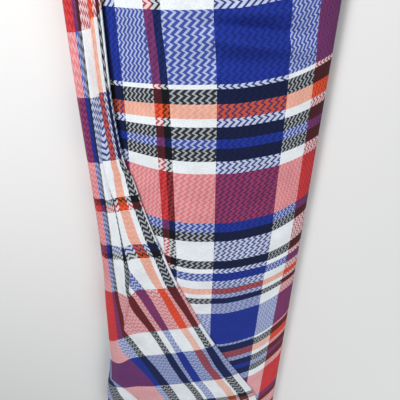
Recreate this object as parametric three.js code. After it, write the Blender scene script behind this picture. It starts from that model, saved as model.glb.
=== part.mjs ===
// Maasai shuka blanket: one woven cloth, wound loosely round itself and lying on its flat underside.
// Millimetres, X across the roll, Y along it, Z up, origin in the middle of the ground under it.
// In section the cloth starts at the free edge of the outer flap, on top. It goes down the left side,
// under the roll, up the right side and back over the top as the base layer, then down the left side
// inside the flap, and it ends in a doubled layer that fills the roll in slack waves.

import * as THREE from 'three';

// The cloth, with its turned hem along the free edge of the flap
const CLOTH = { length: 1500, thickness: 2.2, hemWidth: 8, hemThickness: 3.6 };

// The section of the roll: the base layer is a half oval on a low waist with round lower corners
const ROLL = { right: 226, waist: 27, corner: 27, fullness: 2.3 };

// Distances between the middles of layers that lie on each other
const APART = { side: 9, under: 6, filling: 6.5, pair: 7 };

// The slack waves inside the roll, between the fold on the right and the inner end on the left
const FILLING = { waves: 3, fold: 168, end: -148, drift: 9, driftLength: 620 };

// How the layers slip past each other at the two ends of the roll
const SLIP = { most: 11, turns: 2.6 };

// The outline along the roll: half width of the left side and height of the base layer's crown
const OUTLINE = [
  { y: 750, left: 213, crown: 59 },
  { y: 430, left: 221, crown: 65 },
  { y: 100, left: 224, crown: 66 },
  { y: -39, left: 229, crown: 66 },
  { y: -137, left: 237, crown: 66 },
  { y: -290, left: 247, crown: 66 },
  { y: -400, left: 258, crown: 66 },
  { y: -512, left: 280, crown: 65 },
  { y: -750, left: 296, crown: 58 },
];

// The free edge of the flap: how far across the roll it lies and how far it stands off the base layer
const FREE_EDGE = [
  { y: 750, x: -143, lift: 7 },
  { y: 492, x: -149, lift: 8 },
  { y: 368, x: -152, lift: 10 },
  { y: 276, x: -145, lift: 11 },
  { y: 183, x: -119, lift: 7 },
  { y: 87, x: -95, lift: 6 },
  { y: -37, x: -59, lift: 6 },
  { y: -168, x: -3, lift: 6 },
  { y: -291, x: 52, lift: 6 },
  { y: -388, x: 107, lift: 6 },
  { y: -518, x: 162, lift: 6 },
  { y: -750, x: 192, lift: 6 },
];

// Folds are soft ridges (rise over 0) or troughs (rise under 0) along a line from one point to another
const BASE_FOLDS = [
  { x0: 77, y0: 501, x1: 141, y1: 499, width: 10, rise: 3 },
  { x0: 14, y0: 489, x1: 144, y1: 478, width: 10, rise: -4 },
  { x0: 24, y0: 462, x1: 146, y1: 456, width: 11, rise: 4 },
  { x0: 40, y0: 431, x1: 112, y1: 430, width: 11, rise: -3 },
  { x0: -80, y0: 505, x1: -69, y1: 425, width: 9, rise: -3 },
  { x0: 60, y0: 640, x1: -60, y1: 560, width: 22, rise: 5 },
  { x0: 150, y0: -560, x1: 205, y1: -660, width: 20, rise: -4 },
];

const FLAP_FOLDS = [
  { x0: -163, y0: 640, x1: -162, y1: 215, width: 6, rise: 5 },
  { x0: -184, y0: 620, x1: -184, y1: 60, width: 6, rise: 6 },
  { x0: -184, y0: 60, x1: -186, y1: -160, width: 7, rise: 5 },
  { x0: -203, y0: 560, x1: -205, y1: -130, width: 6, rise: 5 },
  { x0: -168, y0: 150, x1: -160, y1: -90, width: 7, rise: 6 },
  { x0: -200, y0: -190, x1: -232, y1: -540, width: 26, rise: 8 },
  { x0: -192, y0: -225, x1: -140, y1: -300, width: 12, rise: -3 },
  { x0: -120, y0: -470, x1: -30, y1: -640, width: 30, rise: 6 },
];

// Stations along the roll, closer together where the base layer is creased
const STATIONS = [
  { from: -750, to: -520, steps: 3 },
  { from: -520, to: -100, steps: 7 },
  { from: -100, to: 400, steps: 8 },
  { from: 400, to: 520, steps: 5 },
  { from: 520, to: 750, steps: 3 },
];

// Steps along each stretch of the section, and how strongly they crowd towards its end
const STRETCHES = {
  flap: { steps: 16, crowd: 1.3 },
  leftTurn: { steps: 4, crowd: 1 },
  under: { steps: 3, crowd: 1 },
  rightTurn: { steps: 4, crowd: 1 },
  base: { steps: 18, crowd: 1 },
  innerTurn: { steps: 3, crowd: 1 },
  lowerFilling: { steps: 15, crowd: 1 },
  fillingFold: { steps: 3, crowd: 1 },
  upperFilling: { steps: 13, crowd: 1 },
};

// Points that stand for a stretch while its steps are measured out along it
const FINE = 90;

const floor = CLOTH.thickness / 2;
const mix = (a, b, t) => a + (b - a) * t;
const smooth = (t) => t * t * (3 - 2 * t);
const clamp = (t) => Math.min(1, Math.max(0, t));

// A smooth value at y from one column of a table whose rows run from the head to the foot
function along(rows, column, y) {
  const last = rows.length - 1;
  let i = 0;
  while (i < last - 1 && y < rows[i + 1].y) i += 1;
  const slope = (k) => {
    const a = rows[Math.max(0, k - 1)];
    const b = rows[Math.min(last, k + 1)];
    return (b[column] - a[column]) / (b.y - a.y);
  };
  const span = rows[i + 1].y - rows[i].y;
  const t = clamp((y - rows[i].y) / span);
  const ahead = smooth(t);
  const bend = t * (1 - t) * span;
  return mix(rows[i][column], rows[i + 1][column], ahead)
    + bend * ((1 - t) * slope(i) - t * slope(i + 1));
}

// The height that a table of folds adds at one place, each fold fading out at its two ends
function foldHeight(folds, x, y) {
  let height = 0;
  for (const fold of folds) {
    const run = [fold.x1 - fold.x0, fold.y1 - fold.y0];
    const length = Math.hypot(run[0], run[1]);
    const t = ((x - fold.x0) * run[0] + (y - fold.y0) * run[1]) / (length * length);
    const near = clamp(t);
    const away = Math.hypot(x - fold.x0 - near * run[0], y - fold.y0 - near * run[1]);
    const fade = 0.35 + 0.65 * Math.sin(Math.PI * near);
    height += fold.rise * fade * Math.exp(-((away / fold.width) ** 2));
  }
  return height;
}

// The base layer over the top, from the right waist (turn 0) over the crown to the left waist (turn 1)
function basePoint(turn, y) {
  const angle = Math.PI * turn;
  const power = 2 / ROLL.fullness;
  const side = turn < 0.5 ? ROLL.right : along(OUTLINE, 'left', y) - APART.side;
  const crown = along(OUTLINE, 'crown', y);
  const across = Math.cos(angle);
  const up = Math.max(0, Math.sin(angle)) ** power;
  const x = Math.sign(across) * side * Math.abs(across) ** power;
  const z = ROLL.waist + (crown - ROLL.waist) * up;
  return [x, z + up * foldHeight(BASE_FOLDS, x, y)];
}

// Where on the base layer a place across the roll lies
function turnAt(x, y) {
  const side = x > 0 ? ROLL.right : along(OUTLINE, 'left', y) - APART.side;
  const across = Math.sign(x) * Math.min(1, Math.abs(x) / side) ** (ROLL.fullness / 2);
  return Math.acos(across) / Math.PI;
}

// The flap, laid over the base layer from its free edge (t 0) to the left waist (t 1)
function flapPoint(t, y) {
  const turn = mix(turnAt(along(FREE_EDGE, 'x', y), y), 1, t);
  const probe = 0.004;
  const [x, z] = basePoint(turn, y);
  const before = basePoint(turn - probe, y);
  const after = turn < 1 - probe ? basePoint(turn + probe, y) : [x, z - 1];
  const run = [after[0] - before[0], after[1] - before[1]];
  const size = Math.hypot(run[0], run[1]);
  const lift = mix(along(FREE_EDGE, 'lift', y), APART.side, smooth(t));
  const off = lift + foldHeight(FLAP_FOLDS, x, y) * clamp(4 * (1 - t));
  return [x + off * run[1] / size, z - off * run[0] / size];
}

// A round lower corner about one centre, from the side (t 0) down to the ground (t 1)
function cornerPoint(t, centre, reach, drop) {
  const angle = t * Math.PI / 2;
  return [centre + reach * Math.cos(angle), ROLL.waist - drop * Math.sin(angle)];
}

// The height of the lower of the two layers that fill the roll, waving under the base layer
function fillingHeight(x, start, y) {
  const low = floor + APART.under;
  const high = basePoint(turnAt(x, y), y)[1] - APART.filling - APART.pair;
  const drift = FILLING.drift * Math.sin(y / FILLING.driftLength * 2 * Math.PI);
  const t = clamp((x - start) / (FILLING.fold - start + drift));
  const wave = (1 - Math.cos(2 * Math.PI * FILLING.waves * t)) / 2;
  return mix(low, Math.max(low, high), wave);
}

// The three stretches of the filling: to the right, round its fold, and back above itself
function fillingCurves(start, y) {
  const height = (x) => fillingHeight(x, start, y);
  const half = APART.pair / 2;
  return {
    lowerFilling: (t) => {
      const x = mix(start, FILLING.fold, t);
      return [x, height(x)];
    },
    fillingFold: (t) => {
      const angle = Math.PI * t;
      return [FILLING.fold + half * Math.sin(angle), height(FILLING.fold) + half * (1 - Math.cos(angle))];
    },
    upperFilling: (t) => {
      const x = mix(FILLING.fold, FILLING.end, t);
      return [x, height(x) + APART.pair];
    },
  };
}

// Even or crowding steps along a stretch, measured on the cloth; hems are extra places near its start
function measureOut(curve, steps, crowd, hems) {
  const fine = Array.from({ length: FINE + 1 }, (_, i) => curve(i / FINE));
  const reached = [0];
  for (let i = 1; i <= FINE; i += 1) {
    const [a, b] = [fine[i - 1], fine[i]];
    reached.push(reached[i - 1] + Math.hypot(b[0] - a[0], b[1] - a[1]));
  }
  const first = hems.length ? hems[hems.length - 1] : 0;
  const places = [...hems.slice(0, -1)];
  for (let i = 0; i <= steps; i += 1) {
    places.push(mix(first, reached[FINE], 1 - (1 - i / steps) ** crowd));
  }
  return places.map((place) => {
    let i = 1;
    while (i < FINE && reached[i] < place) i += 1;
    const t = (place - reached[i - 1]) / (reached[i] - reached[i - 1]);
    return [mix(fine[i - 1][0], fine[i][0], t), mix(fine[i - 1][1], fine[i][1], t)];
  });
}

// The middle line of the cloth in the section at y, from the free edge to the inner end
function sectionAt(y) {
  const left = along(OUTLINE, 'left', y);
  const leftCentre = ROLL.corner - left;
  const rightCentre = ROLL.right - ROLL.corner;
  const drop = ROLL.waist - floor;
  const curves = {
    flap: (t) => flapPoint(t, y),
    leftTurn: (t) => cornerPoint(t, leftCentre, -ROLL.corner, drop),
    under: (t) => [mix(leftCentre, rightCentre, t), floor],
    rightTurn: (t) => cornerPoint(1 - t, rightCentre, ROLL.corner, drop),
    base: (t) => basePoint(t, y),
    innerTurn: (t) => cornerPoint(t, leftCentre, APART.side - ROLL.corner, drop - APART.under),
    ...fillingCurves(leftCentre, y),
  };
  const line = [];
  for (const [name, { steps, crowd }] of Object.entries(STRETCHES)) {
    const hems = name === 'flap' ? [0, CLOTH.hemWidth, CLOTH.hemWidth + 2] : [];
    const points = measureOut(curves[name], steps, crowd, hems);
    line.push(...(line.length ? points.slice(1) : points));
  }
  return line;
}

// One closed sheet from the sections: an outer and an inner face, joined round all four edges
function clothGeometry() {
  const stations = [STATIONS[0].from];
  for (const { from, to, steps } of STATIONS) {
    for (let i = 1; i <= steps; i += 1) stations.push(mix(from, to, i / steps));
  }
  const corners = [];
  for (const y of stations) {
    const line = sectionAt(y);
    const last = line.length - 1;
    const end = Math.sign(y) * Math.abs(2 * y / CLOTH.length) ** 3;
    for (const face of [1, -1]) {
      line.forEach(([x, z], i) => {
        const a = line[Math.max(0, i - 1)];
        const b = line[Math.min(last, i + 1)];
        const size = Math.hypot(b[0] - a[0], b[1] - a[1]);
        const half = face * (i < 2 ? CLOTH.hemThickness : CLOTH.thickness) / 2;
        const slip = SLIP.most * end * Math.sin(2 * Math.PI * SLIP.turns * i / last);
        corners.push(x + half * (b[1] - a[1]) / size, y + slip, z - half * (b[0] - a[0]) / size);
      });
    }
  }
  const across = corners.length / 3 / stations.length / 2;
  const at = (station, face, i) => (station * 2 + face) * across + i;
  const triangles = [];
  const quad = (a, b, c, d) => triangles.push(a, b, c, a, c, d);
  for (let s = 0; s + 1 < stations.length; s += 1) {
    for (let i = 0; i + 1 < across; i += 1) {
      quad(at(s, 0, i), at(s + 1, 0, i), at(s + 1, 0, i + 1), at(s, 0, i + 1));
      quad(at(s, 1, i), at(s, 1, i + 1), at(s + 1, 1, i + 1), at(s + 1, 1, i));
    }
    quad(at(s, 1, 0), at(s + 1, 1, 0), at(s + 1, 0, 0), at(s, 0, 0));
    quad(at(s, 0, across - 1), at(s + 1, 0, across - 1), at(s + 1, 1, across - 1), at(s, 1, across - 1));
  }
  const head = stations.length - 1;
  for (let i = 0; i + 1 < across; i += 1) {
    quad(at(0, 0, i), at(0, 0, i + 1), at(0, 1, i + 1), at(0, 1, i));
    quad(at(head, 1, i), at(head, 1, i + 1), at(head, 0, i + 1), at(head, 0, i));
  }
  const geometry = new THREE.BufferGeometry();
  geometry.setAttribute('position', new THREE.Float32BufferAttribute(corners, 3));
  geometry.setIndex(triangles);
  return geometry;
}

const weave = new THREE.MeshStandardMaterial({ color: 0x2c3f94, roughness: 0.9, metalness: 0 });
const cloth = new THREE.Mesh(clothGeometry(), weave);
cloth.name = 'shuka_cloth';

// The origin goes to the middle of the ground that the roll covers
cloth.geometry.computeBoundingBox();
const box = cloth.geometry.boundingBox;
cloth.position.set(-(box.min.x + box.max.x) / 2, -(box.min.y + box.max.y) / 2, -box.min.z);

const blanket = new THREE.Group();
blanket.add(cloth);
export default blanket;
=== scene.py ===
# Maasai shuka blanket: one woven cloth, wound loosely round itself and lying on its flat underside.
# Tables and functions work in millimetres, X across the roll, Y along it, Z up, from the middle of
# the base layer's section on the ground. The mesh is turned into metres when it is made, and the
# studio is in metres throughout.
# In section the cloth starts at the free edge of the outer flap, on top. It goes down the left side,
# under the roll, up the right side and back over the top as the base layer, then down the left side
# inside the flap, and it ends in a doubled layer that fills the roll in slack waves.

import math

import bpy
import numpy as np
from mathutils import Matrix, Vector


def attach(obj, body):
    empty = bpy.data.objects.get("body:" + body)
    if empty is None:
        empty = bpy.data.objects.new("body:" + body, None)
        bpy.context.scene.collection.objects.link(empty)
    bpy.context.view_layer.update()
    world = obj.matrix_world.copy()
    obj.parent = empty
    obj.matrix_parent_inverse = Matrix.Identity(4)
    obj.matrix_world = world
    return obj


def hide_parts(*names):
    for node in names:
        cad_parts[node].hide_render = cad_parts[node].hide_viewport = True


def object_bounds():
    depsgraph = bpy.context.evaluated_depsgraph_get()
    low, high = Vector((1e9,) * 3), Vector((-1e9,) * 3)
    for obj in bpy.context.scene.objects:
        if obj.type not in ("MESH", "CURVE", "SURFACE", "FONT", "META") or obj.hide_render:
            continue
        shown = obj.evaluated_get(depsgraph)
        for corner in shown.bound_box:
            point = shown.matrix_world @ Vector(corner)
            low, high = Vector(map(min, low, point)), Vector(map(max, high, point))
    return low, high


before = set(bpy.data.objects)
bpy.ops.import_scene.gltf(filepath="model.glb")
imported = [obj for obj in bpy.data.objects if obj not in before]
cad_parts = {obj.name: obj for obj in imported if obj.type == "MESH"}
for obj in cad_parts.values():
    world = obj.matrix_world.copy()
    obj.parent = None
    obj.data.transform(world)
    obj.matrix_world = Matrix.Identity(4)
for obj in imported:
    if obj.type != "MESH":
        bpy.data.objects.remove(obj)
cad_low, cad_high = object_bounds()

MM = 0.001


def table(columns, *rows):
    """A table with named columns, as one array for each column."""
    return dict(zip(columns.split(), np.array(rows, float).T))


def folds(*rows):
    """Soft ridges (rise over 0) or troughs (rise under 0), each along a line between two points."""
    names = ("x0", "y0", "x1", "y1", "width", "rise")
    return [dict(zip(names, row)) for row in rows]


# The cloth and its hems, the section of the roll, and the distances between the middles of layers.
# Towards its two ends the cloth slips along the roll, in waves round the section, and the power
# keeps that near the ends.
CLOTH = {"length": 1500, "thickness": 2.2, "hem_width": 8, "hem_thickness": 3.6, "flat_width": 2000}
ROLL = {"right": 226, "waist": 27, "corner": 27, "fullness": 2.3}
APART = {"side": 9, "under": 6, "filling": 6.5, "pair": 7}
FILLING = {"waves": 3, "fold": 168, "end": -148, "drift": 9, "drift_length": 620}
SLIP = {"most": 11, "turns": 2.6, "power": 3}
FLOOR = CLOTH["thickness"] / 2

# The outline along the roll: half width of the left side and height of the base layer's crown
OUTLINE = table(
    "y left crown",
    (750, 213, 59),
    (430, 221, 65),
    (100, 224, 66),
    (-39, 229, 66),
    (-137, 237, 66),
    (-290, 247, 66),
    (-400, 258, 66),
    (-512, 280, 65),
    (-750, 296, 58),
)

# The free edge of the flap: how far across the roll it lies and how far it stands off the base layer
FREE_EDGE = table(
    "y x lift",
    (750, -148, 7),
    (492, -150, 8),
    (375, -150, 10),
    (284, -144.5, 11),
    (244, -139, 9),
    (223, -130, 8),
    (168, -117.5, 7),
    (96, -99, 6),
    (44, -81.5, 6),
    (-27, -60, 6),
    (-88, -36, 6),
    (-172, -1, 6),
    (-246, 33, 6),
    (-328, 76, 6),
    (-397, 114, 6),
    (-502, 163, 6),
    (-750, 193, 6),
)

# The folds of the two outer layers, and the share of its rise that a fold keeps at its two ends
FOLD_END = 0.35
BASE_FOLDS = folds(
    (50, 504, 160, 498, 9, 7),
    (10, 488, 180, 466, 9, -11),
    (10, 467, 180, 441, 11, 10),
    (20, 432, 110, 424, 13, -8),
    (60, 395, 150, 400, 12, 3),
    (-80, 505, -69, 425, 9, -4),
    (-40, 500, -10, 440, 10, 3),
    (-45, 75, 60, 68, 7, 2),
    (-40, 52, 40, 58, 6, -2),
    (95, 150, 150, 185, 12, -3),
    (60, 640, -60, 560, 22, 6),
    (150, -560, 205, -660, 20, -5),
)

FLAP_FOLDS = folds(
    (-163, 640, -162, 215, 6, 5),
    (-184, 620, -184, 60, 6, 6),
    (-184, 60, -186, -160, 7, 5),
    (-203, 560, -205, -130, 6, 5),
    (-168, 150, -160, -90, 7, 6),
    (-200, -190, -232, -540, 26, 8),
    (-192, -225, -140, -300, 12, -3),
    (-185, -455, -95, -450, 16, 5),
    (-250, -420, -190, -520, 12, -4),
    (-120, -470, -30, -640, 30, 6),
)
# The folds of the flap die out over this last share of its way down to the left waist
FLAP_SETTLE = 0.25

# The tuck on the left of the flap: where it runs, how deep it dips, and whether it hides cloth.
# Just left of it some white cloth shows, and then a sliver of a black band that it cuts short.
TUCK = table(
    "y x depth share pale sliver",
    (750, -170, 4, 1, 0, 0),
    (464, -172, 4, 1, 0, 0),
    (333, -175, 5, 1, 0, 0),
    (273, -181, 5, 1, 0, 3),
    (211, -181, 5, 1, 1, 3),
    (154, -174, 6, 1, 1, 4),
    (54, -165, 6, 1, 4, 3),
    (-15, -160, 6, 1, 6, 7),
    (-60, -164, 6, 1, 6, 7),
    (-95, -171, 5, 1, 1, 5),
    (-125, -171.5, 5, 1, 0, 0),
    (-141, -175, 5, 1, 0, 0),
    (-150, -177, 5, 0, 0, 0),
    (-194, -188, 4, 0, 0, 0),
    (-221, -195, 2, 0, 0, 0),
    (-240, -198, 0, 0, 0, 0),
    (-750, -252, 0, 0, 0, 0),
)
TUCK_WIDTH = 3.5

# Stations along the roll and steps along each stretch of the section
STATIONS = (
    (-750, -742, 2),
    (-742, -520, 22),
    (-520, -100, 48),
    (-100, 400, 58),
    (400, 520, 28),
    (520, 742, 15),
    (742, 750, 2),
)
STRETCHES = (
    ("flap", 70),
    ("flap_side", 22),
    ("left_turn", 10),
    ("under", 14),
    ("right_turn", 10),
    ("base", 76),
    ("inner_turn", 5),
    ("lower_filling", 30),
    ("filling_fold", 6),
    ("upper_filling", 28),
)
# The steps in which a stretch's length is measured
FINE = 400

# Extra places from the start of a stretch: inside the hem and at its step, and the narrow bottom
# of the tuck
EXTRA_PLACES = {
    "flap": [0, 2, 5, CLOTH["hem_width"], CLOTH["hem_width"] + 2],
    "flap_side": [0, 1.2, 3],
}
HEM_COLUMNS = EXTRA_PLACES["flap"].index(CLOTH["hem_width"]) + 1


def mix(a, b, t):
    return a + (b - a) * t


def smooth(t):
    return t * t * (3 - 2 * t)


def along(rows, column, y):
    """A smooth value at y from one column of a table whose rows run from the head to the foot."""
    places = rows["y"]
    values = rows[column]
    last = len(places) - 1
    i = int(np.clip(np.sum(places > y) - 1, 0, last - 1))

    def slope(k):
        a = max(0, k - 1)
        b = min(last, k + 1)
        return (values[b] - values[a]) / (places[b] - places[a])

    span = places[i + 1] - places[i]
    t = min(1, max(0, (y - places[i]) / span))
    bend = t * (1 - t) * span
    return mix(values[i], values[i + 1], smooth(t)) + bend * ((1 - t) * slope(i) - t * slope(i + 1))


def between(rows, column, y):
    """A value at y from one column of such a table, straight from row to row."""
    return float(np.interp(-y, -rows["y"], rows[column]))


def fold_height(rows, x, y):
    """The height that a table of folds adds, each fold fading out at its two ends."""
    height = np.zeros_like(x)
    for fold in rows:
        run_x = fold["x1"] - fold["x0"]
        run_y = fold["y1"] - fold["y0"]
        t = ((x - fold["x0"]) * run_x + (y - fold["y0"]) * run_y) / (run_x**2 + run_y**2)
        near = np.clip(t, 0, 1)
        away = np.hypot(x - fold["x0"] - near * run_x, y - fold["y0"] - near * run_y)
        fade = mix(FOLD_END, 1, np.sin(math.pi * near))
        height += fold["rise"] * fade * np.exp(-((away / fold["width"]) ** 2))
    return height


def base_point(turn, y):
    """The base layer over the top, from the right waist (turn 0) to the left waist (turn 1)."""
    power = 2 / ROLL["fullness"]
    crown = along(OUTLINE, "crown", y)
    side = np.where(turn < 0.5, ROLL["right"], along(OUTLINE, "left", y) - APART["side"])
    across = np.cos(math.pi * turn)
    up = np.maximum(0, np.sin(math.pi * turn)) ** power
    x = np.sign(across) * side * np.abs(across) ** power
    z = ROLL["waist"] + (crown - ROLL["waist"]) * up
    return x, z + up * fold_height(BASE_FOLDS, x, y)


def turn_at(x, y):
    """Where on the base layer a place across the roll lies."""
    side = np.where(x > 0, ROLL["right"], along(OUTLINE, "left", y) - APART["side"])
    across = np.sign(x) * np.minimum(1, np.abs(x) / side) ** (ROLL["fullness"] / 2)
    return np.arccos(across) / math.pi


def flap_split(y):
    """How far from the free edge (0) to the left waist (1) the tuck lies, by turn."""
    edge = turn_at(along(FREE_EDGE, "x", y), y)
    return (turn_at(along(TUCK, "x", y), y) - edge) / (1 - edge)


def flap_point(t, y):
    """The flap, laid over the base layer from its free edge (t 0) to the left waist (t 1)."""
    turn = mix(turn_at(along(FREE_EDGE, "x", y), y), 1, t)
    probe = 0.004
    x, z = base_point(turn, y)
    before_x, before_z = base_point(turn - probe, y)
    after_x, after_z = base_point(np.minimum(1, turn + probe), y)
    at_waist = turn >= 1 - probe
    run_x = np.where(at_waist, x, after_x) - before_x
    run_z = np.where(at_waist, z - 1, after_z) - before_z
    size = np.hypot(run_x, run_z)
    lift = mix(along(FREE_EDGE, "lift", y), APART["side"], smooth(t))
    off = lift + fold_height(FLAP_FOLDS, x, y) * np.clip((1 - t) / FLAP_SETTLE, 0, 1)
    from_tuck = np.abs(x - along(TUCK, "x", y))
    off -= along(TUCK, "depth", y) * np.exp(-from_tuck / TUCK_WIDTH)
    return x + off * run_z / size, z - off * run_x / size


def corner_point(t, centre, reach, drop):
    """A round lower corner about one centre, from the side (t 0) down to the ground (t 1)."""
    angle = t * math.pi / 2
    return centre + reach * np.cos(angle), ROLL["waist"] - drop * np.sin(angle)


def filling_height(x, start, y):
    """The height of the lower of the two layers that fill the roll."""
    low = FLOOR + APART["under"]
    high = base_point(turn_at(x, y), y)[1] - APART["filling"] - APART["pair"]
    drift = FILLING["drift"] * math.sin(y / FILLING["drift_length"] * 2 * math.pi)
    t = np.clip((x - start) / (FILLING["fold"] - start + drift), 0, 1)
    wave = (1 - np.cos(2 * math.pi * FILLING["waves"] * t)) / 2
    return mix(low, np.maximum(low, high), wave)


def filling_fold(t, start, y):
    """The round fold on the right that joins the two filling layers."""
    half = APART["pair"] / 2
    foot = filling_height(np.array([float(FILLING["fold"])]), start, y)[0]
    angle = math.pi * t
    return FILLING["fold"] + half * np.sin(angle), foot + half * (1 - np.cos(angle))


def section_curves(y):
    """The stretches of the section at y, each a function of t from 0 to 1."""
    left_centre = ROLL["corner"] - along(OUTLINE, "left", y)
    right_centre = ROLL["right"] - ROLL["corner"]
    corner = ROLL["corner"]
    drop = ROLL["waist"] - FLOOR
    fold, end, pair = FILLING["fold"], FILLING["end"], APART["pair"]
    split = flap_split(y)

    def layer(t, start, stop, above):
        x = mix(start, stop, t)
        return x, filling_height(x, left_centre, y) + above

    return {
        "flap": lambda t: flap_point(mix(0, split, t), y),
        "flap_side": lambda t: flap_point(mix(split, 1, t), y),
        "left_turn": lambda t: corner_point(t, left_centre, -corner, drop),
        "under": lambda t: (mix(left_centre, right_centre, t), FLOOR + 0 * t),
        "right_turn": lambda t: corner_point(1 - t, right_centre, corner, drop),
        "base": lambda t: base_point(t, y),
        "inner_turn": lambda t: corner_point(
            t, left_centre, APART["side"] - corner, drop - APART["under"]
        ),
        "lower_filling": lambda t: layer(t, left_centre, fold, 0),
        "filling_fold": lambda t: filling_fold(t, left_centre, y),
        "upper_filling": lambda t: layer(t, fold, end, pair),
    }


def measure_out(curve, steps, extra):
    """Even steps along a stretch; extra places near its start come first."""
    x, z = curve(np.linspace(0, 1, FINE + 1))
    reached = np.concatenate([[0], np.cumsum(np.hypot(np.diff(x), np.diff(z)))])
    places = np.concatenate([extra[:-1], np.linspace(extra[-1], reached[-1], steps + 1)])
    return np.interp(places, reached, x), np.interp(places, reached, z)


def section_at(y):
    """The cloth's middle line at y, from the free edge to the inner end."""
    curves = section_curves(y)
    x, z = np.empty(0), np.empty(0)
    for name, steps in STRETCHES:
        new_x, new_z = measure_out(curves[name], steps, EXTRA_PLACES.get(name, [0]))
        keep = 1 if len(x) else 0
        x = np.concatenate([x, new_x[keep:]])
        z = np.concatenate([z, new_z[keep:]])
    return x, z


def stretch_columns():
    """The first column of each stretch, and the number of columns in all."""
    starts, column = {}, 0
    for name, steps in STRETCHES:
        starts[name] = column
        column += steps + len(EXTRA_PLACES.get(name, [0])) - 1
    return starts, column + 1


def station_places():
    """The stations along the roll, from the foot to the head."""
    runs = [np.linspace(start, stop, steps + 1)[1:] for start, stop, steps in STATIONS]
    return np.concatenate([[STATIONS[0][0]], *runs])


# Weave places: warp and weft coordinates on the cloth, in millimetres of the stripe pattern.
# Across the base layer the warp stripes lie at these places, before they lean.
WARP_ACROSS = table(
    "x warp",
    (230, 375),
    (222, 353),
    (197, 298),
    (152, 214),
    (30, 84),
    (-52, 0),
    (-66, -18),
    (-80, -34),
    (-135, -123),
    (-149, -145),
    (-161, -161),
)
# How far the warp stripes of the base layer lean across at a place along the roll. The left lean
# takes over from the middle one beyond a place on the left, the right one grows up to its place.
LEAN_REACH = {"left": 90, "change": 40, "right": 200}
LEAN = table(
    "y left middle right",
    (750, 3, -11, 0),
    (506, 3, -9, 0),
    (434, 3, -4, 0),
    (377, 3, -1, 0),
    (236, 0, 0, 0),
    (44, 0, 0, 0),
    (-105, 0, -2, -7),
    (-750, 0, -6, -30),
)
# The weft bands of the base layer rise towards its sides: on the right by this shape times a share
# that changes along the roll, on the left as a parabola of this height so far from the middle
BOW_REACH = 100
BOW = table(
    "x rise",
    (226, 95),
    (216, 85),
    (205, 74),
    (190, 60),
    (170, 43),
    (150, 29),
    (120, 18),
    (90, 8),
    (60, 1),
    (0, 0),
)
BOW_SHARE = table(
    "y right left",
    (750, 0.45, 3),
    (395, 0.46, 3),
    (330, 0.44, 6),
    (262, 0.48, 13),
    (125, 0.69, 18),
    (65, 0.66, 18),
    (15, 0.63, 34),
    (-60, 0.8, 38),
    (-120, 0.98, 40),
    (-220, 1.07, 40),
    (-400, 1.15, 40),
    (-750, 1.2, 40),
)
BASE_WEFT = 508.6
# Beyond these places the warp of the base layer is counted by the length of the cloth
BASE_ENDS = {"right": 221, "left": -200}

# The flap is turned on the grain: weft bands follow its free edge, warp stripes cross it
FLAP_WEFT = 641
FLAP_DROP = table(
    "y drop",
    (750, 0.05),
    (44, 0.05),
    (-105, 0.12),
    (-210, 0.17),
    (-290, 0.19),
    (-400, 0.17),
    (-520, 0.14),
    (-750, 0.14),
)
# The warp stripes sag just inside the free edge, and drop evenly from there
FLAP_WARP = {"scale": 1.05, "start": 181.6, "sag": 14, "sag_reach": 25}
# The flap is drawn in unevenly: level distances from its free edge to these places on the cloth,
# where its bands end one after another
FLAP_PLACES = (0, 15, 35, 46, 65, 88, 112, 125, 148)
FLAP_ACROSS = table(
    "y hem black_1 white_1 orange white_2 blue white_3 black_2",
    (750, 5, 12, 16, 28, 70, 94, 110, 135),
    (380, 4, 10, 14, 24, 70, 90, 105, 130),
    (270, 3, 10, 14, 24, 75, 95, 110, 135),
    (240, 1, 13, 18, 31, 85, 105, 120, 145),
    (210, 1, 19, 26, 42, 90, 110, 125, 150),
    (180, 1, 22, 30, 48, 92, 112, 127, 152),
    (100, 2, 25, 35, 59, 98, 116, 131, 156),
    (70, 3, 29, 38, 64, 98, 117, 132, 157),
    (20, 4, 28, 35, 60, 100, 120, 135, 160),
    (-20, 4, 30, 36, 60, 97, 118, 133, 158),
    (-60, 6, 33, 38, 58, 88, 119, 130, 152),
    (-73, 6, 33, 38, 57, 87, 117, 129, 151),
    (-100, 6, 32, 37, 57, 86, 113, 128, 150),
    (-150, 7, 28, 37, 61, 88, 112, 127, 153),
    (-200, 9, 28, 41, 62, 92, 111, 127, 146),
    (-250, 10, 31, 43, 62, 98, 114, 133, 147),
    (-300, 13, 40, 46, 71, 101, 123, 136, 155),
    (-350, 18, 48, 53, 79, 109, 133, 144, 166),
    (-400, 20, 50, 54, 80, 116, 141, 150, 173),
    (-750, 22, 50, 54, 82, 121, 144, 156, 175),
)
# On the left side of the tuck the cloth goes on from this place
TUCK_RESUMES = 119
# On the left: how far in from the outline these places lie, where the bands named here end, and
# the place on the cloth that the outline itself shows
SIDE_PLACES = (361, 248, 226, 202)
LEAST_INSET = 0.1
SIDE_ACROSS = table(
    "y red blue black white outline",
    (750, 0, 20, 28, 33, 285),
    (-15, 0, 20, 27, 32, 285),
    (-85, 0, 23, 27, 38, 300),
    (-115, 0, 24.5, 30.5, 41, 300),
    (-160, 0, 26, 35, 48, 310),
    (-215, 0, 28.5, 41, 47, 330),
    (-237, 0, 30, 43, 59, 345),
    (-250, 0, 30, 50, 66, 355),
    (-272, 1, 31, 62, 78, 370),
    (-300, 2, 42, 75, 95, 385),
    (-350, 5, 76, 104, 129, 400),
    (-400, 6, 112, 129, 158, 405),
    (-442, 9, 141, 155, 185, 408),
    (-450, 30, 147, 160, 190, 410),
    (-462, 54, 155, 168, 198, 412),
    (-512, 95, 184, 197, 226, 420),
    (-750, 125, 228, 240, 269, 470),
)
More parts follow.
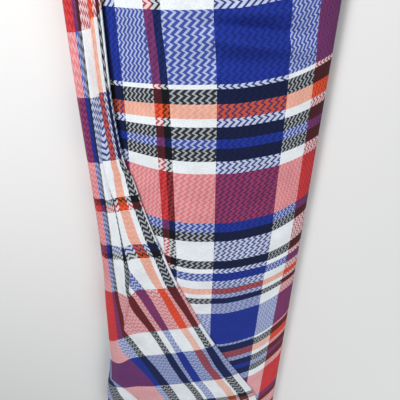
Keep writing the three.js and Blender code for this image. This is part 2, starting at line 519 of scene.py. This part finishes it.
# How far the warp stripes of the flap run off level: by the left side, by the free edge, at the tuck
FLAP_SKEW = table(
    "y side near dip",
    (750, -35, -35, 0),
    (500, -35, -35, 0),
    (390, 0, 0, 0),
    (60, 0, 0, 6),
    (0, 0, 0, 8),
    (-60, 0, 0, 18),
    (-100, 3, -1, 24),
    (-150, 10, -6, 0),
    (-215, 17, -9, 0),
    (-340, 18, -7, 0),
    (-450, 9, -6, 0),
    (-750, 9, -6, 0),
)
SKEW_REACH = {"side": 60, "tuck": 14}
# Towards the foot the yarns have worn into one another, from here on and over this length
WORN = {"start": -25, "length": 80}
# Where, under the roll, the flap's grain gives way to that of the base layer
CHANGE = {"head": -60, "foot": 40}


def base_weave(x, y):
    """Warp and weft places of the base layer."""
    far_left = np.clip((-x - LEAN_REACH["left"]) / LEAN_REACH["change"], 0, 1)
    lean = mix(along(LEAN, "middle", y), along(LEAN, "left", y), far_left)
    lean += along(LEAN, "right", y) * np.maximum(0, x) / LEAN_REACH["right"]
    warp = np.interp(x - lean, WARP_ACROSS["x"][::-1], WARP_ACROSS["warp"][::-1])
    rise = np.interp(x, BOW["x"][::-1], BOW["rise"][::-1]) * along(BOW_SHARE, "right", y)
    bow = np.where(x > 0, rise, along(BOW_SHARE, "left", y) * (x / BOW_REACH) ** 2)
    return warp, BASE_WEFT - (y - bow)


def borders(rows, y):
    """The values at y in all columns of a table but the first."""
    return [between(rows, name, y) for name in list(rows)[1:]]


def flap_places(x, y, columns):
    """Distances on the cloth from the free edge of the flap, by the borders of its bands."""
    left = along(OUTLINE, "left", y)
    edge = along(FREE_EDGE, "x", y)
    tuck = along(TUCK, "x", y)
    inset = np.maximum(0, x + left)
    level = [0, *borders(FLAP_ACROSS, y)]
    red, blue, black, white, outline = borders(SIDE_ACROSS, y)
    side_insets = [0, max(LEAST_INSET, red), blue, black, white]
    side_places = [outline, min(SIDE_PLACES[0], outline), *SIDE_PLACES[1:]]
    flap_insets = [left + edge - place for place in reversed(level)]
    whole = np.interp(inset, side_insets + flap_insets, side_places + list(reversed(FLAP_PLACES)))

    # where the tuck hides cloth, the bands are counted from each side of it apart
    near_edge = np.interp(edge - x, level, FLAP_PLACES)
    cut = FLAP_PLACES[-1]
    sliver = between(TUCK, "sliver", y)
    rest = tuck + left - between(TUCK, "pale", y)
    tuck_insets = [rest - sliver, rest, tuck + left]
    tuck_places = [cut, cut - sliver, TUCK_RESUMES]
    beyond = np.interp(inset, side_insets + tuck_insets, side_places + tuck_places)
    halves = np.where(np.arange(len(x)) > columns["flap_side"], beyond, near_edge)
    return mix(whole, halves, between(TUCK, "share", y))


def flap_weave(x, y, arc, columns):
    """Warp and weft places of the flap and of what follows it round the left side."""
    end = columns["left_turn"]
    from_edge = flap_places(x, y, columns)
    from_edge = np.where(np.arange(len(x)) > end, from_edge[end] + arc - arc[end], from_edge)
    inset = np.maximum(0, x + along(OUTLINE, "left", y))
    near = 1 - np.exp(-((inset / SKEW_REACH["side"]) ** 2))
    from_tuck = x - along(TUCK, "x", y)
    at_tuck = np.exp(-((from_tuck / SKEW_REACH["tuck"]) ** 2))
    skew = mix(between(FLAP_SKEW, "side", y), between(FLAP_SKEW, "near", y), near)
    skew += between(FLAP_SKEW, "dip", y) * at_tuck
    drop = along(FLAP_DROP, "drop", y)
    reach = FLAP_WARP["sag_reach"]

    def fall(distance):
        return FLAP_WARP["sag"] * (1 - np.exp(-distance / reach)) + drop * distance

    level = y + fall(from_edge) - fall(reach) - FLAP_WARP["start"]
    return FLAP_WARP["scale"] * level + skew, FLAP_WEFT - from_edge


def base_run(x, y, arc, columns):
    """Warp and weft places of the base layer, and of what leads up to it and away from it."""
    number = np.arange(len(x))
    first, last = columns["base"], columns["inner_turn"]
    right = int(first + np.argmax(x[first:last] < BASE_ENDS["right"]))
    left = int(first + np.sum(x[first:last] > BASE_ENDS["left"]))
    warp, weft = base_weave(x, y)
    warp = np.where(number < right, warp[right] + arc[right] - arc, warp)
    warp = np.where(number > left, warp[left] - arc + arc[left], warp)
    weft = np.where(number < first, weft[first], weft)
    weft = np.where(number > last, weft[last], weft)
    return warp, weft


def weave_places(x, z, y, columns):
    """Warp place, weft place and distance from the nearest edge, by column, at one station."""
    arc = np.concatenate([[0], np.cumsum(np.hypot(np.diff(x), np.diff(z)))])
    flap_warp, flap_weft = flap_weave(x, y, arc, columns)
    warp, weft = base_run(x, y, arc, columns)
    number = np.arange(len(x))
    change = mix(CHANGE["foot"], CHANGE["head"], y / CLOTH["length"] + 0.5)
    turned = (number <= columns["under"]) | ((number < columns["right_turn"]) & (x < change))
    rim = np.minimum(np.minimum(arc, arc[-1] - arc), CLOTH["length"] / 2 - abs(y))
    return np.stack([np.where(turned, flap_warp, warp), np.where(turned, flap_weft, weft), rim], 1)


def cloth_grid():
    """Points, weave places and wear of the outer and inner face, by station, face and column."""
    columns, count = stretch_columns()
    stations = station_places()
    points = np.empty((len(stations), 2, count, 3))
    places = np.empty((len(stations), 2, count, 3))
    worn = np.empty((len(stations), 2, count))
    number = np.arange(count)
    for s, y in enumerate(stations):
        x, z = section_at(y)
        end = np.sign(y) * abs(2 * y / CLOTH["length"]) ** SLIP["power"]
        slip = SLIP["most"] * end * np.sin(2 * math.pi * SLIP["turns"] * number / (count - 1))
        run_x = np.gradient(x)
        run_z = np.gradient(z)
        size = np.hypot(run_x, run_z)
        half = np.where(number < HEM_COLUMNS, CLOTH["hem_thickness"], CLOTH["thickness"]) / 2
        for face, way in enumerate((1, -1)):
            points[s, face, :, 0] = x + way * half * run_z / size
            points[s, face, :, 1] = y + slip
            points[s, face, :, 2] = z - way * half * run_x / size
            places[s, face] = weave_places(x, z, y, columns)
        worn[s] = np.clip((WORN["start"] - y) / WORN["length"], 0, 1)
    return points, places, worn


# The baked maps: the width that a part of the cloth gets for its length, the part that the rim gets,
# and the least length and width of a strip on the outer and on the inner face
MAP_SHARE = {"shown": 1, "under": 0.4, "hidden": 0.12, "inner_face": 0.1, "rim": 0.003}
MAP_LEAST = {"outer": 3, "inner": 0.2}


def strip_sizes(points, columns):
    """How wide each column's strip is on the baked maps: visible stretches wide, hidden ones narrow."""
    middle = points[len(points) // 2, 0]
    lengths = np.hypot(*np.diff(middle[:, [0, 2]], axis=0).T)
    weight = np.full(len(lengths), MAP_SHARE["hidden"])
    for name in ("flap", "flap_side", "left_turn", "right_turn", "base"):
        start = columns[name]
        stop = min([c for c in [*columns.values(), len(lengths)] if c > start])
        weight[start:stop] = MAP_SHARE["shown"]
    start, stop = columns["under"], columns["right_turn"]
    weight[start:stop] = MAP_SHARE["under"]
    return np.maximum(lengths, MAP_LEAST["outer"]) * weight


def map_places(points, columns):
    """Stations along u and columns along v of the baked maps; the inner face has the last of v."""
    outer_sizes = strip_sizes(points, columns)
    inner_sizes = outer_sizes * MAP_SHARE["inner_face"] + MAP_LEAST["inner"]
    rim = MAP_SHARE["rim"]
    steps = np.concatenate([[0], np.cumsum(outer_sizes), np.sum(outer_sizes) + np.cumsum(inner_sizes)])
    stations = station_places()
    u = rim + (1 - 2 * rim) * (stations - stations[0]) / (stations[-1] - stations[0])
    return u, rim + (1 - 2 * rim) * steps / steps[-1]


def cloth_mesh():
    """The closed sheet: an outer and an inner face, joined round all four edges."""
    columns, _ = stretch_columns()
    points, places, worn = cloth_grid()
    rows, _, count, _ = points.shape
    index = np.arange(rows * 2 * count).reshape(rows, 2, count)

    u, v = map_places(points, columns)
    v_of = np.stack([v[:count], v[count - 1 :]])
    rim = MAP_SHARE["rim"]
    quads, corners = [], []

    def add(a, b, c, d, uv):
        quads.append(np.stack([a, b, c, d], -1).reshape(-1, 4))
        corners.append(np.stack(uv, -2).reshape(-1, 4, 2))

    def pair(u_value, v_value):
        return np.stack(np.broadcast_arrays(u_value, v_value), -1)

    u0, u1 = u[:-1, None], u[1:, None]
    for face in (0, 1):
        v0, v1 = v_of[face][None, :-1], v_of[face][None, 1:]
        a, b = index[:-1, face, :-1], index[1:, face, :-1]
        c, d = index[1:, face, 1:], index[:-1, face, 1:]
        if face == 0:
            add(a, b, c, d, [pair(u0, v0), pair(u1, v0), pair(u1, v1), pair(u0, v1)])
        else:
            add(a, d, c, b, [pair(u0, v0), pair(u0, v1), pair(u1, v1), pair(u1, v0)])

    # the free edge and the inner end
    for column, low, high in ((0, 0, rim / 2), (count - 1, 1 - rim / 2, 1)):
        a, b = index[:-1, 1, column], index[1:, 1, column]
        c, d = index[1:, 0, column], index[:-1, 0, column]
        s0, s1 = u[:-1], u[1:]
        uv = [pair(s0, low), pair(s1, low), pair(s1, high), pair(s0, high)]
        if column == 0:
            add(a, b, c, d, uv)
        else:
            add(d, c, b, a, uv[::-1])

    # the two cut ends of the roll
    for station, low, high in ((0, 0, rim / 2), (rows - 1, 1 - rim / 2, 1)):
        a, b = index[station, 0, :-1], index[station, 0, 1:]
        c, d = index[station, 1, 1:], index[station, 1, :-1]
        v0, v1 = v[: count - 1], v[1:count]
        uv = [pair(low, v0), pair(low, v1), pair(high, v1), pair(high, v0)]
        if station == 0:
            add(a, b, c, d, uv)
        else:
            add(d, c, b, a, uv[::-1])

    mesh = bpy.data.meshes.new("shuka_blanket")
    shift = np.array([cad_high.x / MM - ROLL["right"] - FLOOR, 0, 0])
    mesh.from_pydata(((points.reshape(-1, 3) + shift) * MM).tolist(), [], np.concatenate(quads).tolist())
    mesh.attributes.new("weave_place", "FLOAT_VECTOR", "POINT")
    mesh.attributes["weave_place"].data.foreach_set("vector", places.reshape(-1))
    mesh.attributes.new("worn", "FLOAT", "POINT")
    mesh.attributes["worn"].data.foreach_set("value", worn.reshape(-1))
    mesh.uv_layers.new(name="OFBake")
    mesh.uv_layers["OFBake"].data.foreach_set("uv", np.concatenate(corners).reshape(-1))
    mesh.shade_smooth()
    return mesh


# Yarn colours are mixed as display colours, and made linear by this power afterwards
GAMMA = 2.2


def display(red, green, blue):
    """A display colour from 0 to 255 as fractions."""
    return tuple(part / 255 for part in (red, green, blue))


def linear(red, green, blue):
    """A display colour from 0 to 255 as the linear colour that a socket takes."""
    return (*(part**GAMMA for part in display(red, green, blue)), 1)


YARN = {
    "white": display(236, 241, 244),
    "blue": display(34, 54, 147),
    "black": display(20, 24, 30),
    "red": display(214, 62, 66),
    "orange": display(238, 92, 44),
}
# The stripes across the warp and the bands along the weft: yarn and width, one repeat of each
WARP_STRIPES = (
    ("white", 84),
    ("blue", 130),
    ("white", 84),
    ("red", 143),
    ("white", 92),
    ("black", 16),
    ("blue", 22),
    ("white", 89),
    ("red", 16),
    ("black", 18),
)
WEFT_BANDS = (
    ("blue", 113),
    ("white", 8),
    ("black", 24),
    ("orange", 26),
    ("white", 16),
    ("black", 24),
    ("blue", 16),
    ("black", 26),
    ("white", 27),
    ("red", 113),
    ("blue", 23),
    ("black", 23),
    ("white", 54),
    ("black", 23),
    ("white", 13),
    ("blue", 24),
    ("white", 23),
    ("orange", 19),
    ("white", 11),
    ("black", 20),
    ("white", 34),
)
# The zigzag twill: one repeat across the warp and along the weft, and how far its lines swing and drift
TWILL = {"across": 13, "along": 11.7, "swing": 8, "drift": 0.2, "back": 0.3}
# How each weft crosses the warp: the warp's share of the colour between the zigzag lines and on
# them, and how wide the lines are. Over white warp the lines are light, over coloured warp dark.
OVER_WHITE = {
    "white": (0.5, 0.5, 0.4),
    "blue": (0.15, 0.7, 0.42),
    "black": (0.12, 0.68, 0.38),
    "red": (0.36, 0.58, 0.42),
    "orange": (0.5, 0.62, 0.4),
}
OVER_COLOUR = {
    "white": (0.2, 0.82, 0.42),
    "blue": (0.45, 0.5, 0.4),
    "black": (0.3, 0.36, 0.4),
    "red": (0.36, 0.6, 0.42),
    "orange": (0.22, 0.72, 0.36),
}
# Where the cloth is worn, the yarns blend more evenly
WORN_OVER_WHITE = {
    "white": (0.5, 0.5, 0.4),
    "blue": (0.48, 0.76, 0.42),
    "black": (0.18, 0.66, 0.42),
    "red": (0.54, 0.64, 0.42),
    "orange": (0.6, 0.72, 0.4),
}
WORN_OVER_COLOUR = {
    "white": (0.38, 0.58, 0.42),
    "blue": (0.5, 0.55, 0.4),
    "black": (0.4, 0.5, 0.4),
    "red": (0.56, 0.6, 0.42),
    "orange": (0.4, 0.5, 0.36),
}
# Painted shade: how much darker the zigzag lines over coloured warp are painted, on fresh and on worn
# cloth
PAINTED_LINE_SHADE = {"fresh": 0.2, "worn": 0.08}
# How uneven the yarn and the dye are: noise scale, detail and share of the shade
UNEVEN = {"yarn": (0.5, 2, 0.3), "dye": (0.02, 3, 0.16)}
# The relief of the threads and of the hem's stitching: spacings in millimetres, heights against the
# threads' own, and the height of one in metres
RELIEF = {"rib": 1.6, "step": 1.3, "line": 1.2, "stitch": -2, "one": 0.0004, "strength": 0.35}
# The row of stitches: how far inside the hem's width it runs
STITCH = {"inside": 1, "half_width": 0.5}


class Shader:
    """Short ways to add nodes to one material."""

    def __init__(self, name):
        self.material = bpy.data.materials.new(name)
        self.material.use_nodes = True
        self.tree = self.material.node_tree
        self.surface = self.tree.nodes["Principled BSDF"]

    def put(self, socket, value):
        if isinstance(value, bpy.types.NodeSocket):
            self.tree.links.new(value, socket)
        else:
            socket.default_value = value

    def math(self, operation, *values):
        node = self.tree.nodes.new("ShaderNodeMath")
        node.operation = operation
        for socket, value in zip(node.inputs, values):
            self.put(socket, value)
        return node.outputs[0]

    def blend(self, factor, first, second, kind="MIX"):
        node = self.tree.nodes.new("ShaderNodeMix")
        node.data_type = "RGBA"
        node.blend_type = kind
        self.put(node.inputs["Factor"], factor)
        self.put(node.inputs[6], first)
        self.put(node.inputs[7], second)
        return node.outputs[2]

    def noise(self, vector, scale, detail):
        node = self.tree.nodes.new("ShaderNodeTexNoise")
        node.inputs["Scale"].default_value = scale
        node.inputs["Detail"].default_value = detail
        self.put(node.inputs["Vector"], vector)
        return node.outputs["Fac"]

    def stripes(self, place, rows, values):
        """Plain stripes that repeat along one place, each with its yarn's value from a table."""
        total = sum(width for _, width in rows)
        node = self.tree.nodes.new("ShaderNodeValToRGB")
        ramp = node.color_ramp
        ramp.interpolation = "CONSTANT"
        start = 0
        for i, (yarn, width) in enumerate(rows):
            stop = ramp.elements[0] if i == 0 else ramp.elements.new(start / total)
            stop.position = start / total
            stop.color = (*values[yarn], 1)
            start += width
        while len(ramp.elements) > len(rows):
            ramp.elements.remove(ramp.elements[-1])
        self.put(node.inputs[0], self.math("FRACT", self.math("DIVIDE", place, total)))
        return node.outputs["Color"]

    def parts(self, value):
        node = self.tree.nodes.new("ShaderNodeSeparateXYZ")
        self.put(node.inputs[0], value)
        return node.outputs


def weave_material():
    """Warp stripes crossing weft bands, with the warp showing as fine zigzag lines."""
    shader = Shader("shuka_weave")
    place = shader.tree.nodes.new("ShaderNodeAttribute")
    place.attribute_name = "weave_place"
    warp, weft, rim = shader.parts(place.outputs["Vector"])
    wear = shader.tree.nodes.new("ShaderNodeAttribute")
    wear.attribute_name = "worn"
    worn = wear.outputs["Fac"]
    warp_colour = shader.stripes(warp, WARP_STRIPES, YARN)
    weft_colour = shader.stripes(weft, WEFT_BANDS, YARN)
    whiteness = {yarn: (float(yarn == "white"),) * 3 for yarn in YARN}
    white = shader.stripes(warp, WARP_STRIPES, whiteness)
    crossings = [
        shader.blend(
            white,
            shader.stripes(weft, WEFT_BANDS, over_colour),
            shader.stripes(weft, WEFT_BANDS, over_white),
        )
        for over_colour, over_white in (
            (OVER_COLOUR, OVER_WHITE),
            (WORN_OVER_COLOUR, WORN_OVER_WHITE),
        )
    ]
    between_lines, on_lines, share = shader.parts(shader.blend(worn, *crossings))

    # the zigzag: a long stroke one way and a short stroke back
    beat = shader.math("FRACT", shader.math("DIVIDE", weft, TWILL["along"]))
    back = TWILL["back"]
    down = shader.math("DIVIDE", shader.math("SUBTRACT", 1, beat), 1 - back)
    swing = shader.math("MINIMUM", shader.math("DIVIDE", beat, back), down)
    shifted = shader.math("MULTIPLY_ADD", weft, TWILL["drift"], warp)
    shifted = shader.math("MULTIPLY_ADD", swing, -TWILL["swing"], shifted)
    line = shader.math("FRACT", shader.math("DIVIDE", shifted, TWILL["across"]))
    on_line = shader.math("LESS_THAN", line, share)

    warp_part = shader.blend(on_line, between_lines, on_lines)
    colour = shader.blend(warp_part, weft_colour, warp_colour)

    # painted shade darkens the lines over coloured warp, less where the cloth is worn; the yarns and the
    # dye are a little uneven
    painted_shade_lines = shader.math("MULTIPLY", on_line, shader.math("SUBTRACT", 1, white))
    less = PAINTED_LINE_SHADE["worn"] - PAINTED_LINE_SHADE["fresh"]
    # how dark the painted shade on these lines is
    depth = shader.math("MULTIPLY_ADD", worn, -less, -PAINTED_LINE_SHADE["fresh"])
    # the painted shade on the lines, then the uneven tone of yarn and dye
    painted_shade_and_tone = shader.math("MULTIPLY_ADD", painted_shade_lines, depth, 1)
    for scale, detail, part in UNEVEN.values():
        noise = shader.noise(place.outputs["Vector"], scale, detail)
        painted_shade_and_tone = shader.math("MULTIPLY", painted_shade_and_tone, shader.math("MULTIPLY_ADD", noise, part, 1 - part / 2))
    colour = shader.blend(1, colour, painted_shade_and_tone, "MULTIPLY")
    gamma = shader.tree.nodes.new("ShaderNodeGamma")
    gamma.inputs["Gamma"].default_value = GAMMA
    shader.put(gamma.inputs["Color"], colour)
    shader.put(shader.surface.inputs["Base Color"], gamma.outputs["Color"])

    # the relief of the threads, the raised lines and the row of stitches that holds the hem
    rib = shader.math("SINE", shader.math("MULTIPLY", warp, 2 * math.pi / RELIEF["rib"]))
    step = shader.math("SINE", shader.math("MULTIPLY", weft, 2 * math.pi / RELIEF["step"]))
    relief = shader.math("MULTIPLY_ADD", on_line, RELIEF["line"], shader.math("MULTIPLY", rib, step))
    stitch = shader.math("COMPARE", rim, CLOTH["hem_width"] - STITCH["inside"], STITCH["half_width"])
    relief = shader.math("MULTIPLY_ADD", stitch, RELIEF["stitch"], relief)
    bump = shader.tree.nodes.new("ShaderNodeBump")
    bump.inputs["Strength"].default_value = RELIEF["strength"]
    bump.inputs["Distance"].default_value = RELIEF["one"]
    shader.put(bump.inputs["Height"], relief)
    shader.put(shader.surface.inputs["Normal"], bump.outputs["Normal"])
    shader.surface.inputs["Roughness"].default_value = 0.78
    shader.surface.inputs["Specular IOR Level"].default_value = 0.15
    shader.surface.inputs["Sheen Weight"].default_value = 0.05
    shader.surface.inputs["Sheen Roughness"].default_value = 0.5
    return shader.material


def make_cloth():
    cloth = bpy.data.objects.new("shuka_blanket", cloth_mesh())
    bpy.context.scene.collection.objects.link(cloth)
    cloth.data.materials.append(weave_material())
    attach(cloth, "root")
    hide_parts("shuka_cloth")


# The stage's floor: half its width, and how far it lies below the cloth
STAGE = {"half": 6, "gap": 0.0005}


def make_floor():
    size = STAGE["half"]
    mesh = bpy.data.meshes.new("studio_floor")
    corners = [(-size, -size, 0), (size, -size, 0), (size, size, 0), (-size, size, 0)]
    mesh.from_pydata(corners, [], [(0, 1, 2, 3)])
    floor = bpy.data.objects.new("studio_floor", mesh)
    floor.location.z = cad_low.z - STAGE["gap"]
    shader = Shader("studio_floor")
    shader.surface.inputs["Base Color"].default_value = linear(238, 238, 236)
    shader.surface.inputs["Roughness"].default_value = 0.9
    mesh.materials.append(shader.material)
    bpy.context.scene.collection.objects.link(floor)


def make_light(name, place, aim, size, power):
    data = bpy.data.lights.new(name, "AREA")
    data.size = size
    data.energy = power
    light = bpy.data.objects.new(name, data)
    light.location = place
    way = np.array(aim) - np.array(place)
    light.rotation_euler = (
        math.atan2(math.hypot(way[0], way[1]), -way[2]),
        0,
        math.atan2(way[1], way[0]) - math.pi / 2,
    )
    bpy.context.scene.collection.objects.link(light)


def make_studio():
    world = bpy.data.worlds.new("studio")
    world.use_nodes = True
    background = world.node_tree.nodes["Background"]
    background.inputs["Color"].default_value = linear(244, 247, 255)
    background.inputs["Strength"].default_value = 0.25
    bpy.context.scene.world = world
    make_light("key", place=(-0.8, 1.7, 1.4), aim=(0, 0, 0), size=0.6, power=41)
    make_light("fill", place=(1.3, -1.0, 1.7), aim=(0, -0.2, 0), size=1.4, power=19)


# The camera stands over the head of the roll and looks down it, thirty degrees off the vertical.
# Its focal length is in pixels of a picture of this width, and its sensor is in millimetres.
CAMERA = {"y": 528, "z": 686.07, "tilt": 30, "focal": 358, "picture": 400, "sensor": 36}


def make_camera():
    data = bpy.data.cameras.new("camera")
    data.sensor_width = CAMERA["sensor"]
    data.lens = CAMERA["focal"] / CAMERA["picture"] * data.sensor_width
    camera = bpy.data.objects.new("camera", data)
    shift = cad_high.x - (ROLL["right"] + FLOOR) * MM
    camera.location = (shift, CAMERA["y"] * MM, CAMERA["z"] * MM)
    camera.rotation_euler = (-math.radians(CAMERA["tilt"]), 0, 0)
    bpy.context.scene.collection.objects.link(camera)
    bpy.context.scene.camera = camera


bpy.context.scene.view_settings.view_transform = "Standard"
make_cloth()
make_floor()
make_studio()
make_camera()
